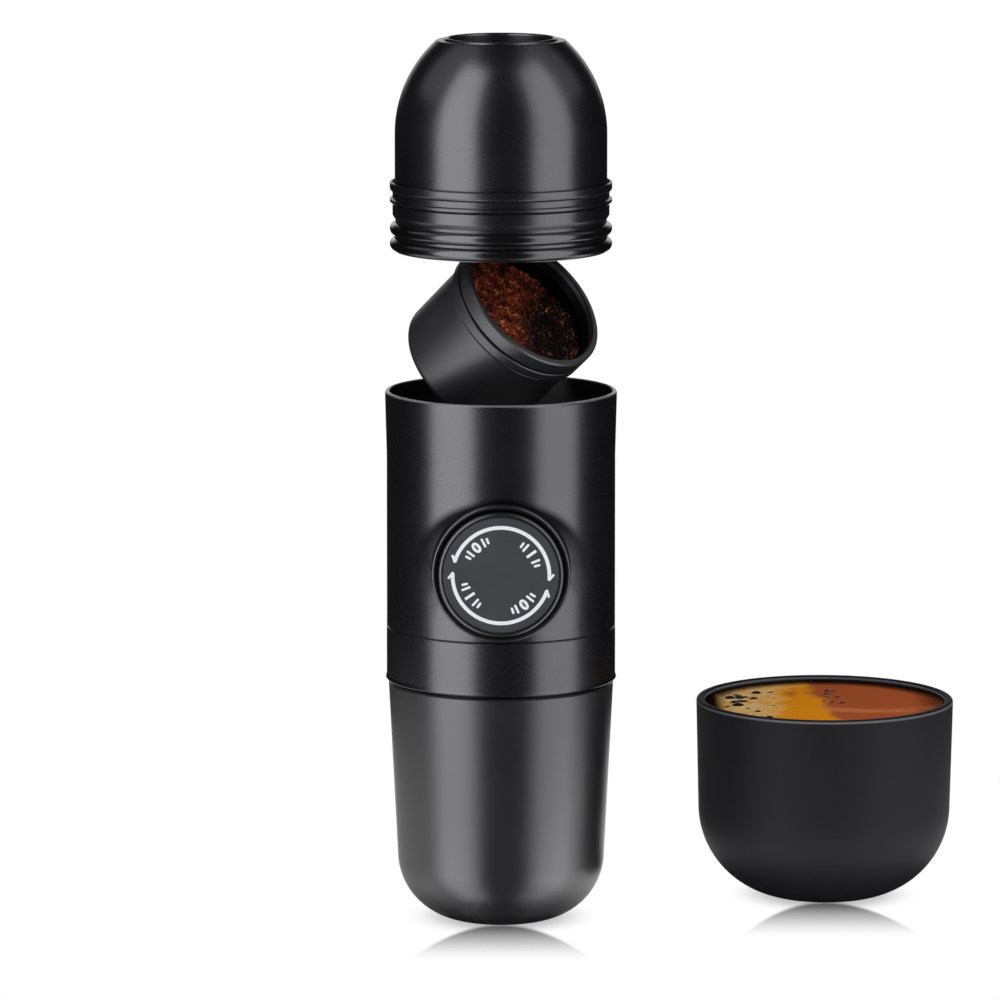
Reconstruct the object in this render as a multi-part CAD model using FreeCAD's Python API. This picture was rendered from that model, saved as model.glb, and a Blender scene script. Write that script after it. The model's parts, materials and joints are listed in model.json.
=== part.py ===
import FreeCAD, Part
import math
import os
from FreeCAD import Vector

# A hand-pumped espresso maker, in millimetres. +Z is up, the knob faces -Y, and the origin is the
# centre of the water tank's foot. The outlet head and the filter basket are shown taken off, and
# the cup stands beside the tank.

# Water tank
tank_height = 63.4
tank_top_radius = 29.4
tank_taper = 2.3
tank_corner = 17.5
tank_wall = 2.0
neck_step = 2.9
neck_wall = 2.3
neck_height = 8.6
thread_height = 0.8
thread_pitch = 2.8
thread_turns = 2
thread_root = 0.3
tank_edge = 0.5
neck_chamfer = 0.4

# Lower band, and the base plate that it holds
band_gap = 0.7
band_height = 14.0
band_stand = 0.5
band_flare = 0.25
band_flare_height = 1.2
neck_clearance = 0.5
plate_thickness = 3.1
plate_ledge = 1.0
seal_gap = 0.3
band_chamfer = 0.3

# Body shell
body_set_in = 0.05
body_draft = 0.05
body_wall = 2.45
rim_spread = 0.35
rim_wall = 1.1
rim_height = 17.0
rim_rounding = 0.7
body_chamfer = 0.3
mouth_chamfer = 0.2

# Brew deck
deck_thickness = 2.5
platform_gutter = 5.5
platform_land = 2.2
platform_height = 3.5
seat_lip_height = 1.0
seat_lip_width = 1.0
seat_lip_inset = 1.0
chamber_depth = 2.2
shower_thickness = 0.8
shower_hole = 0.8
shower_rings = 5
gasket_thickness = 1.2
gasket_width = 4.8
gasket_land = 1.0
shower_screw_shank = 1.5
shower_screw_head = 3.0
shower_screw_length = 4.2
shower_boss_wall = 0.5
shower_slot_width = 0.7
shower_slot_depth = 0.4

# Pump, with distances out along its axis from the body's axis towards the knob
pump_floor_gap = 0.7
pump_roof_gap = 3.9
pump_stroke = 13.0
barrel_bore = 8.0
barrel_wall = 2.0
barrel_end_wall = 2.5
port_inset = 3.1
port_to_barrel_end = 6.0
port_radius = 2.0
rod_radius = 3.0
rod_guide_length = 2.5
rod_guide_spigot = 1.2
running_fit = 0.05
spring_end_gap = 0.1
piston_length = 6.0
piston_port_gap = 0.5
piston_end_gap = 0.8
piston_gap = 0.4
seal_length = 2.8
seal_depth = 1.75
tail_radius = 1.5
tail_length = 5.0
spring_radius = 5.5
spring_wire = 1.0
spring_turns = 7

# Knob and its guide
knob_radius = 16.2
knob_stand = 4.95
knob_proud = 2.0
knob_wall = 2.0
knob_edge = 1.0
face_thickness = 1.2
face_gap = 0.1
face_sink = 0.1
face_edge = 0.4
web_thickness = 3.2
journal_radius = 2.2
journal_play = 0.1
knob_screw_head = 4.0
knob_screw_head_height = 1.5
knob_screw_shank = 1.2
knob_screw_length = 6.0
screw_head_room = 0.5
screw_head_play = 0.5
knob_gap = 0.4
guide_wall = 1.3
guide_chamfer = 0.5
guide_rounding = 0.6
guide_tail = 1.5
lug_reach = 0.9
lug_length = 2.5
lug_angle = 16.0
lug_gap = 0.3
lug_root = 0.5
slot_land = 1.3
lock_turn = 45.0
saddle_lap = 2.6
saddle_thickness = 1.9
shell_gap = 0.1

# Valves
valve_radius = 5.0
inlet_ball_radius = 2.5
inlet_seat_radius = 1.8
inlet_room_height = 5.7
inlet_ball_gap = 0.3
inlet_chamber_gap = 0.5
outlet_seat_radius = 1.6
outlet_seat_height = 3.8
outlet_chamber_radius = 3.4
poppet_radius = 2.6
poppet_thickness = 1.5
poppet_stem_radius = 0.9
poppet_stem_length = 3.7
poppet_seat_gap = 0.3
valve_spring_radius = 1.9
valve_spring_wire = 0.5
valve_spring_turns = 5
filter_radius = 5.5
filter_thickness = 1.4
filter_hole = 0.5
vent_inset = 5.0
vent_radius = 3.0
vent_thickness = 0.8
vent_stem_radius = 1.1
vent_bulb_radius = 1.6
vent_bulb_height = 1.3

# Chassis
post_radius = 2.8
post_inset = 1.7
post_side_gap = 2.14
front_post_angle = 24.0
screw_shank = 1.5
screw_head_height = 2.0
screw_length = 20.0
screw_gap = 0.05
screw_slot_width = 0.8
screw_slot_depth = 0.7
cradle_half_width = 7.0
cradle_front = 6.0
cradle_back = -4.0

# Outlet head, with heights up from its own bottom edge
head_lift = 52.5
head_seat_gap = 3.1
ring_mouth_gap = 0.25
ring_stand = 1.2
ring_groove_depth = 0.2
collar_wall = 0.9
collar_bore_height = 12.0
collar_taper_height = 4.0
ring_half_height = 1.6
ring_play = 0.05
recess_slope = 0.5
lower_ring_height = 1.8
ring_spacing = 4.0
ring_land = 2.3
recess_rise = 1.3
collar_band_height = 2.8
collar_band_depth = 0.5
lip_rise = 0.7
lip_reach = 1.2
lip_thickness = 0.7
lip_step = 0.3
upper_band_height = 2.0
flange_thickness = 2.1
flange_shelf_depth = 0.9
flange_blade = 0.6
flange_edge = 0.2
flange_flare = 0.5
collar_chamfer = 0.4
dome_set_in = 0.1
dome_wall = 2.2
dome_skirt = 12.3
dome_curve = 32.85
dome_top_radius = 16.8
dome_land = 2.1
dome_edge = 0.3
outlet_ring_rise = 0.7
outlet_ring_wall = 1.2
outlet_bowl_depth = 7.1
outlet_bowl_floor = 1.5
outlet_bowl_chamfer = 1.5
outlet_gap = 0.1
funnel_thickness = 2.5
funnel_gap = 0.3
funnel_lip = 1.1
funnel_bore = 3.5
funnel_cone_height = 6.7
funnel_drop = 1.5
spout_radius = 5.4
spout_bore = 3.2
spout_sink = 1.2
spout_rounding = 0.8
spout_chamfer = 0.5
head_gasket_lap = 0.1
head_gasket_width = 3.8
head_gasket_thickness = 2.0
head_gasket_gap = 0.2
head_screen_gap = 0.6
head_screen_thickness = 0.8

# Filter basket, with heights up from its own base
basket_height = 30.3
basket_seat_gap = 0.2
basket_seat_inset = 1.85
basket_taper = 0.1
basket_rim_reach = 1.0
basket_corner = 2.0
basket_wall = 2.0
basket_floor = 1.6
basket_floor_ledge = 5.6
basket_lip_height = 0.6
basket_lip_wall = 1.6
basket_band_height = 3.85
basket_groove_height = 0.7
basket_ring_height = 2.6
basket_low_groove_height = 0.75
basket_groove_depth = 0.6
basket_ring_depth = 0.4
basket_ring_gap = 0.05
basket_edge = 0.2
basket_rim_chamfer = 0.4
basket_lip_slope = 2.6
basket_floor_chamfer = 0.6
basket_screen_lap = 1.8
basket_screen_thickness = 0.6
basket_screen_hole = 0.7
basket_screen_rings = 5
basket_tilt = 49.6
basket_heading = -41.5
basket_rest_offset = -11.87
basket_rest_rise = 20.09

# Cup
cup_height = 53.3
cup_rim_radius = 34.15
cup_taper = 0.65
cup_corner = 24.35
cup_wall = 2.2
cup_rim_rounding = 0.8
cup_x = 86.2
cup_y = 28.0

# Points of an outline that lie nearer than this are one point
shortest_edge = 0.0001

# A cutting shape runs this far past what it cuts, and the outer ring of a screen's holes lies
# this share of their pitch inside its edge
cut_over = 1.0
screen_edge = 0.6

# Radii worked out from the tank's, inwards and upwards
tank_low_radius = tank_top_radius - tank_taper
neck_radius = tank_top_radius - neck_step
neck_inner = neck_radius - neck_wall
band_radius = tank_top_radius + band_stand
band_bore = neck_radius + thread_height + neck_clearance
body_base_radius = band_radius - body_set_in
body_waist_radius = body_base_radius - body_draft
body_bore = body_base_radius - body_wall
rim_radius = body_base_radius + rim_spread
mouth_radius = rim_radius - rim_wall
plate_radius = band_bore + plate_ledge - shell_gap
platform_radius = mouth_radius - platform_gutter
gasket_outer = platform_radius - platform_land
gasket_inner = gasket_outer - gasket_width
chamber_radius = gasket_inner - gasket_land
shower_radius = gasket_inner - 2 * seal_gap
ring_radius = mouth_radius - ring_mouth_gap
collar_radius = ring_radius - ring_stand
collar_bore = collar_radius - collar_wall
collar_band_radius = collar_radius + collar_band_depth
lip_radius = collar_radius + lip_reach
ring_seat_radius = collar_radius - ring_groove_depth
dome_radius = collar_radius - dome_set_in
dome_centre = dome_radius - dome_curve
dome_bore = dome_radius - dome_wall
dome_bore_curve = dome_curve - dome_wall
outlet_ring_radius = dome_top_radius - dome_land
funnel_tube = spout_radius + outlet_gap
basket_base_radius = gasket_outer - basket_seat_inset
basket_top_radius = basket_base_radius + basket_taper
basket_rim_radius = basket_top_radius + basket_rim_reach
basket_groove_radius = basket_top_radius - basket_groove_depth
basket_ring_seat = basket_groove_radius - basket_ring_depth
basket_ring_radius = basket_rim_radius - basket_ring_gap
basket_floor_hole = basket_base_radius - basket_floor_ledge
basket_screen_radius = basket_floor_hole + basket_screen_lap
head_gasket_outer = basket_rim_radius + head_gasket_lap
head_gasket_inner = head_gasket_outer - head_gasket_width
funnel_mouth = head_gasket_inner - funnel_lip
cup_low_radius = cup_rim_radius - cup_taper

# Places out along the pump's axis
barrel_radius = barrel_bore + barrel_wall
port_out = port_inset - chamber_radius
barrel_back = port_out - port_to_barrel_end
piston_back = port_out + port_radius + piston_port_gap
piston_front = piston_back + piston_length
barrel_front = piston_front + pump_stroke + piston_end_gap + rod_guide_spigot
rod_guide_front = barrel_front + rod_guide_length
knob_face_out = body_base_radius + knob_stand
guide_front = knob_face_out - knob_proud
knob_back = guide_front - slot_land - pump_stroke - lug_gap - lug_length
face_back = knob_face_out - face_thickness
web_front = face_back - knob_screw_head_height - 2 * journal_play - screw_head_room
web_back = web_front - web_thickness
face_radius = knob_radius - knob_edge - face_gap
guide_bore = knob_radius + knob_gap
guide_radius = guide_bore + guide_wall
guide_back = knob_back - guide_tail
saddle_radius = guide_radius + saddle_lap
slot_radius = knob_radius + lug_reach + lug_gap
vent_x = vent_inset - neck_inner
post_ring = neck_inner - post_radius - post_inset
back_post_x = barrel_radius + post_radius + post_side_gap
back_post_y = math.sqrt(post_ring ** 2 - back_post_x ** 2)
front_post_x = post_ring * math.cos(math.radians(front_post_angle))
front_post_y = -post_ring * math.sin(math.radians(front_post_angle))
vent_y = (back_post_y + front_post_y) / 2

# Heights up from the head's own bottom edge, and from the basket's own base
upper_ring_height = lower_ring_height + ring_spacing
recess_height = upper_ring_height + ring_land
band_low = recess_height + recess_rise
band_high = band_low + collar_band_height
second_lip_height = band_high + lip_rise
upper_band_low = second_lip_height + lip_thickness + lip_step
flange_height = upper_band_low + upper_band_height
flange_top = flange_height + flange_thickness
flange_shelf = flange_top - flange_shelf_depth
dome_straight = flange_top + dome_skirt
dome_height = dome_straight + math.sqrt(
    dome_curve ** 2 - (dome_top_radius - dome_centre) ** 2)
outlet_bowl_height = dome_height - outlet_bowl_depth
funnel_top = outlet_bowl_height - funnel_drop
spout_top = dome_height - spout_sink
basket_high_groove = basket_height - basket_band_height
basket_ring_high = basket_high_groove - basket_groove_height
basket_ring_low = basket_ring_high - basket_ring_height
basket_low_groove = basket_ring_low - basket_low_groove_height

# Heights up from the ground
neck_top = tank_height + neck_height
band_base = tank_height + band_gap
body_base = band_base + band_height
plate_base = body_base - plate_thickness
pump_height = body_base + pump_floor_gap + guide_radius
deck_base = pump_height + guide_radius + pump_roof_gap
deck_top = deck_base + deck_thickness
rim_top = deck_top + head_seat_gap + flange_height
platform_top = deck_top + platform_height
gasket_base = platform_top - gasket_thickness
chamber_floor = platform_top - shower_thickness - chamber_depth
inlet_seat = pump_height - barrel_radius - inlet_room_height
outlet_seat = pump_height + barrel_radius + outlet_seat_height
head_base = deck_top + head_seat_gap + head_lift
dome_top = head_base + dome_height
basket_seat = platform_top + basket_seat_gap
head_gasket_base = basket_seat + basket_height + head_gasket_gap + head_lift
funnel_base = head_gasket_base + head_gasket_thickness


# ---- Shapes that several pieces use ----

def outline(start, *steps):
    """A closed face in the XZ half plane. A step is a point, or (middle, end) of an arc."""
    def place(point):
        return Vector(point[0], 0, point[1])
    edges = []
    here = start
    for step in steps + (start,):
        if isinstance(step[0], tuple):
            middle, end = step
            edges.append(Part.Arc(place(here), place(middle), place(end)).toShape())
        else:
            end = step
            if math.dist(here, end) > shortest_edge:
                edges.append(Part.makeLine(place(here), place(end)))
        here = end
    return Part.Face(Part.Wire(edges))


def turned(start, *steps):
    """The solid that an outline of (radius, height) points sweeps round the Z axis."""
    return outline(start, *steps).revolve(Vector(0, 0, 0), Vector(0, 0, 1), 360)


def rounded(centre, radius, start_angle, end_angle):
    """(middle, end) of the arc that runs between two angles, in degrees, round a centre."""
    def point(angle):
        turn = math.radians(angle)
        return (centre[0] + radius * math.cos(turn), centre[1] + radius * math.sin(turn))
    return point((start_angle + end_angle) / 2), point(end_angle)


def rod(radius, low, high, x=0.0, y=0.0):
    return Part.makeCylinder(radius, high - low, Vector(x, y, low))


def ring(outer, inner, low, high, x=0.0, y=0.0):
    return rod(outer, low, high, x, y).cut(rod(inner, low, high, x, y))


def cone(low_radius, high_radius, low, high):
    return Part.makeCone(low_radius, high_radius, high - low, Vector(0, 0, low))


def shifted(shape, x, y, z=0.0):
    moved = shape.copy()
    moved.translate(Vector(x, y, z))
    return moved


def facing_front(shape):
    """Lays a shape made round Z along the pump's axis, with its +Z towards the knob."""
    laid = shape.copy()
    laid.rotate(Vector(0, 0, 0), Vector(1, 0, 0), 90)
    laid.translate(Vector(0, 0, pump_height))
    return laid


def sector(inner, outer, low, high, start_angle, end_angle):
    """A part turn of a ring."""
    face = outline((inner, low), (outer, low), (outer, high), (inner, high))
    face.rotate(Vector(0, 0, 0), Vector(0, 0, 1), start_angle)
    return face.revolve(Vector(0, 0, 0), Vector(0, 0, 1), end_angle - start_angle)


def coil(radius, wire, low, high, turns):
    """A round-wire spring between two planes."""
    half = wire / 2
    height = high - low - wire
    path = Part.makeHelix(height / turns, height, radius)
    section = Part.Wire(Part.makeCircle(half, Vector(radius, 0, 0), Vector(0, 1, 0)))
    spring = Part.Wire(path).makePipeShell([section], True, True)
    return shifted(spring, 0, 0, low + half)


def driver_slot(head_radius, width, low, high):
    """What a screwdriver's slot takes out of a screw's head on the Z axis."""
    return Part.makeBox(2 * head_radius, width, high - low,
                        Vector(-head_radius, -width / 2, low))


def perforated(radius, low, high, hole, rings, first_ring=0.0):
    """A disc with rings of round holes inside its edge."""
    plate = rod(radius, low, high)
    pitch = (radius - first_ring) / (rings + screen_edge)
    holes = []
    for index in range(1, rings + 1):
        ring_radius_here = first_ring + index * pitch
        count = 6 * index
        for step in range(count):
            angle = 2 * math.pi * step / count
            x = ring_radius_here * math.cos(angle)
            y = ring_radius_here * math.sin(angle)
            holes.append(rod(hole, low - cut_over, high + cut_over, x, y))
    return plate.cut(Part.makeCompound(holes))


def dome_radius_at(height, curve):
    """Radius of the dome's outer or inner surface at a height above the head's bottom."""
    rise = max(height - dome_straight, 0.0)
    return dome_centre + math.sqrt(curve ** 2 - rise ** 2)


# ---- Water tank ----

def water_tank():
    corner = (tank_low_radius - tank_corner, tank_corner)
    inner_low = tank_low_radius - tank_wall
    inner_top = tank_top_radius - tank_wall
    inner_corner = tank_corner - tank_wall
    shell = turned(
        (0, 0),
        (corner[0], 0),
        rounded(corner, tank_corner, -90, 0),
        (tank_top_radius, tank_height - tank_edge),
        (tank_top_radius - tank_edge, tank_height),
        (neck_radius, tank_height),
        (neck_radius, neck_top - neck_chamfer),
        (neck_radius - neck_chamfer, neck_top),
        (neck_inner, neck_top),
        (neck_inner, tank_height - tank_wall),
        (inner_top, tank_height - 2 * tank_wall),
        (inner_low, tank_corner),
        rounded(corner, inner_corner, 0, -90),
        (0, tank_wall))
    for turn in range(thread_turns):
        centre = tank_height + thread_pitch * (turn + 1)
        ridge = turned(
            (neck_radius - thread_root, centre - thread_height),
            (neck_radius, centre - thread_height),
            (neck_radius + thread_height, centre - thread_height / 4),
            (neck_radius + thread_height, centre + thread_height / 4),
            (neck_radius, centre + thread_height),
            (neck_radius - thread_root, centre + thread_height))
        shell = shell.fuse(ridge)
    return shell


def tank_gasket():
    return ring(neck_radius, neck_inner, neck_top + seal_gap, plate_base)


# ---- Main body: shells and decks ----

def lower_band():
    return turned(
        (band_bore, band_base),
        (band_radius + band_flare - band_chamfer, band_base),
        (band_radius + band_flare, band_base + band_chamfer),
        (band_radius, band_base + band_flare_height),
        (band_radius, body_base - band_chamfer),
        (band_radius - band_chamfer, body_base),
        (band_bore + plate_ledge, body_base),
        (band_bore + plate_ledge, plate_base),
        (band_bore, plate_base))


def body_shell():
    waist = rim_top - rim_height
    rim_centre = (rim_radius - rim_rounding, rim_top - rim_rounding)
    shell = turned(
        (body_bore, body_base),
        (body_base_radius - body_chamfer, body_base),
        (body_base_radius, body_base + body_chamfer),
        (body_waist_radius, waist),
        (rim_radius, rim_top - 2 * rim_rounding),
        (rim_radius, rim_centre[1]),
        rounded(rim_centre, rim_rounding, 0, 90),
        (mouth_radius + mouth_chamfer, rim_top),
        (mouth_radius, rim_top - mouth_chamfer),
        (mouth_radius, deck_base),
        (body_bore, deck_base))
    knob_hole = facing_front(rod(guide_radius + shell_gap, 0, rim_radius + cut_over))
    return shell.cut(knob_hole)


def brew_deck():
    lip_outer = platform_radius - seat_lip_inset
    lip_inner = lip_outer - seat_lip_width
    screen_seat = platform_top - shower_thickness
    boss = shower_screw_head + shower_boss_wall
    deck = turned(
        (shower_screw_shank + screw_gap, deck_base),
        (mouth_radius - shell_gap, deck_base),
        (mouth_radius - shell_gap, deck_top),
        (platform_radius, deck_top),
        (platform_radius, platform_top),
        (lip_outer, platform_top),
        (lip_outer, platform_top + seat_lip_height),
        (lip_inner, platform_top + seat_lip_height),
        (lip_inner, platform_top),
        (gasket_outer + shell_gap, platform_top),
        (gasket_outer + shell_gap, gasket_base),
        (gasket_inner - shell_gap, gasket_base),
        (gasket_inner - shell_gap, screen_seat),
        (chamber_radius, screen_seat),
        (chamber_radius, chamber_floor),
        (boss, chamber_floor),
        (boss, screen_seat),
        (shower_screw_shank + screw_gap, screen_seat))
    return deck.cut(rod(port_radius, deck_base - cut_over, screen_seat, 0, -port_out))


def shower_screen():
    low = platform_top - shower_thickness
    screen = perforated(shower_radius, low, platform_top, shower_hole, shower_rings,
                        shower_screw_head)
    countersink = cone(shower_screw_shank + screw_gap, shower_screw_head + screw_gap,
                       low, platform_top)
    return screen.cut(countersink)


def shower_screw():
    low = platform_top - shower_thickness
    shank = rod(shower_screw_shank, low - shower_screw_length, low)
    head = cone(shower_screw_shank, shower_screw_head, low, platform_top)
    slot = driver_slot(shower_screw_head, shower_slot_width,
                       platform_top - shower_slot_depth, platform_top)
    return shank.fuse(head).cut(slot)


def chamber_gasket():
    return ring(gasket_outer, gasket_inner, gasket_base, platform_top)


def post_places():
    """Two posts stand beside the barrel, and two nearer the knob."""
    return [(back_post_x, back_post_y), (-back_post_x, back_post_y),
            (front_post_x, front_post_y), (-front_post_x, front_post_y)]


def base_plate():
    plate = rod(plate_radius, plate_base, body_base)
    holes = [rod(inlet_ball_radius, plate_base, body_base, 0, -port_out)]
    holes.append(rod(vent_stem_radius + screw_gap, plate_base, body_base, vent_x, vent_y))
    for x, y in post_places():
        holes.append(rod(screw_shank + screw_gap, plate_base, body_base, x, y))
    return plate.cut(Part.makeCompound(holes))


def chassis_posts():
    posts = []
    for x, y in post_places():
        posts.append(ring(post_radius, screw_shank + screw_gap, body_base, deck_base, x, y))
    return Part.makeCompound(posts)


def chassis_screws():
    screws = []
    for x, y in post_places():
        head_base_here = plate_base - screw_head_height
        head = rod(post_radius, head_base_here, plate_base, x, y)
        shank = rod(screw_shank, plate_base, plate_base + screw_length, x, y)
        slot = driver_slot(post_radius, screw_slot_width, head_base_here,
                           head_base_here + screw_slot_depth)
        screws.append(head.fuse(shank).cut(shifted(slot, x, y)))
    return Part.makeCompound(screws)


def pump_cradle():
    length = cradle_front - cradle_back
    block = Part.makeBox(2 * cradle_half_width, length, pump_height - body_base,
                         Vector(-cradle_half_width, -cradle_front, body_base))
    return block.cut(facing_front(rod(barrel_radius + screw_gap, barrel_back, barrel_front)))


# ---- Pump ----

def pump_barrel():
    body = rod(barrel_radius, barrel_back, barrel_front)
    bore = rod(barrel_bore, barrel_back + barrel_end_wall, barrel_front)
    barrel = facing_front(body.cut(bore))
    port = rod(port_radius, body_base, deck_base, 0, -port_out)
    return barrel.cut(port)


def rod_guide():
    flange = rod(barrel_radius, barrel_front, rod_guide_front)
    spigot = rod(barrel_bore - screw_gap, barrel_front - rod_guide_spigot, barrel_front)
    bore = rod(rod_radius + running_fit, barrel_front - rod_guide_spigot, rod_guide_front)
    return facing_front(flange.fuse(spigot).cut(bore))


def piston_rod():
    shoulder = web_back - journal_play
    journal_end = web_front + journal_play
    tail = rod(tail_radius, piston_front - tail_length, piston_front)
    shaft = rod(rod_radius, piston_front, shoulder)
    journal = rod(journal_radius, shoulder, journal_end)
    hole = rod(knob_screw_shank, journal_end - knob_screw_length, journal_end)
    return facing_front(tail.fuse(shaft).fuse(journal).cut(hole))


def piston_seal_span():
    middle = (piston_back + piston_front) / 2
    return middle - seal_length / 2, middle + seal_length / 2


def piston_head():
    low, high = piston_seal_span()
    outer = barrel_bore - piston_gap
    groove_floor = barrel_bore - seal_depth
    disc = rod(outer, piston_back, piston_front).cut(ring(outer, groove_floor, low, high))
    return facing_front(disc.cut(rod(tail_radius, piston_front - tail_length, piston_front)))


def piston_seal():
    low, high = piston_seal_span()
    return facing_front(ring(barrel_bore - running_fit, barrel_bore - seal_depth, low, high))


def return_spring():
    low = rod_guide_front + spring_end_gap
    high = web_back - spring_end_gap
    return facing_front(coil(spring_radius, spring_wire, low, high, spring_turns))


# ---- Knob and its guide ----

def knob_guide():
    edge = (guide_radius - guide_rounding, guide_front - guide_rounding)
    tube = turned(
        (guide_bore, guide_back),
        (guide_radius, guide_back),
        (guide_radius, edge[1]),
        rounded(edge, guide_rounding, 0, 90),
        (guide_bore + guide_chamfer, guide_front),
        (guide_bore, guide_front - guide_chamfer))
    saddle_ring = ring(body_bore - shell_gap, body_bore - shell_gap - saddle_thickness,
                       body_base + shell_gap, deck_base)
    saddle_disc = facing_front(rod(saddle_radius, 0, rim_radius))
    inside = facing_front(rod(guide_radius - guide_wall / 2, 0, rim_radius))
    guide = facing_front(tube).fuse(saddle_ring.common(saddle_disc).cut(inside))
    return guide.cut(facing_front(bayonet_slots()))


def bayonet_slots():
    """Two L-shaped slots: the lugs run out along them, or turn into the pocket behind."""
    half = lug_angle / 2 + math.degrees(lug_gap / slot_radius)
    pocket_front = knob_back + lug_length + lug_gap
    slot_front = pocket_front + pump_stroke
    slots = []
    for angle in (90.0, 270.0):
        slots.append(sector(knob_radius, slot_radius, guide_back - cut_over, slot_front,
                            angle - half, angle + half))
        slots.append(sector(knob_radius, slot_radius, guide_back - cut_over, pocket_front,
                            angle - half - lock_turn, angle + half))
    return Part.makeCompound(slots)


def knob_cap():
    edge = (knob_radius - knob_edge, knob_face_out - knob_edge)
    cap = turned(
        (journal_radius + running_fit, web_back),
        (knob_radius - knob_wall, web_back),
        (knob_radius - knob_wall, knob_back),
        (knob_radius, knob_back),
        (knob_radius, edge[1]),
        rounded(edge, knob_edge, 0, 90),
        (face_radius + face_gap, knob_face_out),
        (face_radius + face_gap, face_back),
        (knob_screw_head + screw_head_play, face_back),
        (knob_screw_head + screw_head_play, web_front),
        (journal_radius + running_fit, web_front))
    for angle in (90.0, 270.0):
        lug = sector(knob_radius - lug_root, knob_radius + lug_reach, knob_back,
                     knob_back + lug_length, angle - lug_angle / 2, angle + lug_angle / 2)
        cap = cap.fuse(lug)
    return facing_front(cap)


def knob_face():
    return facing_front(turned(
        (0, face_back),
        (face_radius, face_back),
        (face_radius, knob_face_out - face_edge),
        (face_radius - face_edge, knob_face_out - face_sink),
        (0, knob_face_out - face_sink)))


def knob_screw():
    seat = web_front + journal_play
    head = rod(knob_screw_head, seat, seat + knob_screw_head_height)
    shank = rod(knob_screw_shank, seat - knob_screw_length, seat)
    return facing_front(head.fuse(shank))


# ---- Valves ----

def inlet_valve_body():
    chamber = inlet_ball_radius + inlet_chamber_gap
    body = rod(valve_radius, body_base, pump_height, 0, -port_out)
    hole = rod(inlet_seat_radius, body_base, inlet_seat, 0, -port_out)
    room = rod(chamber, inlet_seat, pump_height, 0, -port_out)
    barrel = facing_front(rod(barrel_radius + screw_gap, barrel_back - cut_over, barrel_front))
    return body.cut(hole).cut(room).cut(barrel)


def inlet_ball():
    reach = inlet_ball_radius + inlet_ball_gap
    centre = inlet_seat + math.sqrt(reach ** 2 - inlet_seat_radius ** 2)
    return Part.makeSphere(inlet_ball_radius, Vector(0, -port_out, centre))


def intake_filter():
    disc = perforated(filter_radius, plate_base - filter_thickness, plate_base,
                      filter_hole, 3)
    return shifted(disc, 0, -port_out)


def outlet_valve_body():
    body = rod(valve_radius, pump_height, deck_base, 0, -port_out)
    hole = rod(outlet_seat_radius, pump_height, outlet_seat, 0, -port_out)
    room = rod(outlet_chamber_radius, outlet_seat, deck_base, 0, -port_out)
    barrel = facing_front(rod(barrel_radius + screw_gap, barrel_back - cut_over, barrel_front))
    return body.cut(hole).cut(room).cut(barrel)


def outlet_poppet():
    low = outlet_seat + poppet_seat_gap
    disc = rod(poppet_radius, low, low + poppet_thickness, 0, -port_out)
    stem = rod(poppet_stem_radius, low + poppet_thickness,
               low + poppet_thickness + poppet_stem_length, 0, -port_out)
    return disc.fuse(stem)


def outlet_valve_spring():
    low = outlet_seat + poppet_seat_gap + poppet_thickness + spring_end_gap
    high = deck_base - spring_end_gap
    spring = coil(valve_spring_radius, valve_spring_wire, low, high, valve_spring_turns)
    return shifted(spring, 0, -port_out)


def vent_valve():
    disc = rod(vent_radius, plate_base - vent_thickness, plate_base, vent_x, vent_y)
    stem = rod(vent_stem_radius, plate_base, body_base, vent_x, vent_y)
    bulb = rod(vent_bulb_radius, body_base, body_base + vent_bulb_height, vent_x, vent_y)
    return disc.fuse(stem).fuse(bulb)


# ---- Outlet head ----

def outlet_head():
    base = head_base
    curve_base = base + dome_straight
    top_angle = math.degrees(math.asin((dome_top - curve_base) / dome_curve))
    hole = outlet_ring_radius + outlet_gap
    hole_angle = math.degrees(math.acos((hole - dome_centre) / dome_bore_curve))
    hole_height = curve_base + math.sqrt(dome_bore_curve ** 2 - (hole - dome_centre) ** 2)
    outer_blade = lip_radius - flange_blade
    groove = ring_seat_radius - ring_play
    return turned(
        (collar_bore, base),
        (groove, base),
        (groove, base + lower_ring_height + ring_half_height),
        (collar_radius, base + lower_ring_height + ring_half_height + ring_play),
        (collar_radius, base + upper_ring_height - ring_half_height - ring_play),
        (groove, base + upper_ring_height - ring_half_height),
        (groove, base + upper_ring_height + ring_half_height),
        (groove, base + recess_height),
        (collar_radius, base + recess_height + recess_slope),
        (collar_band_radius, base + band_low),
        (collar_band_radius, base + band_high),
        (collar_band_radius - collar_chamfer, base + second_lip_height - lip_step),
        (lip_radius, base + second_lip_height),
        (lip_radius, base + second_lip_height + lip_thickness),
        (collar_band_radius, base + upper_band_low),
        (collar_band_radius, base + flange_height - flange_flare),
        (lip_radius - flange_edge, base + flange_height),
        (lip_radius, base + flange_height + 2 * flange_edge),
        (lip_radius, base + flange_top - flange_edge),
        (lip_radius - flange_edge, base + flange_top),
        (outer_blade, base + flange_top),
        (outer_blade, base + flange_shelf),
        (dome_radius, base + flange_shelf),
        (dome_radius, curve_base),
        rounded((dome_centre, curve_base), dome_curve, 0, top_angle),
        (dome_top_radius - dome_edge, dome_top + outlet_gap),
        (hole, dome_top + outlet_gap),
        (hole, hole_height),
        rounded((dome_centre, curve_base), dome_bore_curve, hole_angle, 0),
        (dome_bore, base + collar_bore_height + collar_taper_height),
        (collar_bore, base + collar_bore_height))


def head_ring(height):
    centre = head_base + height
    return turned(
        (ring_seat_radius, centre - ring_half_height),
        ((ring_radius, centre), (ring_seat_radius, centre + ring_half_height)))


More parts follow.
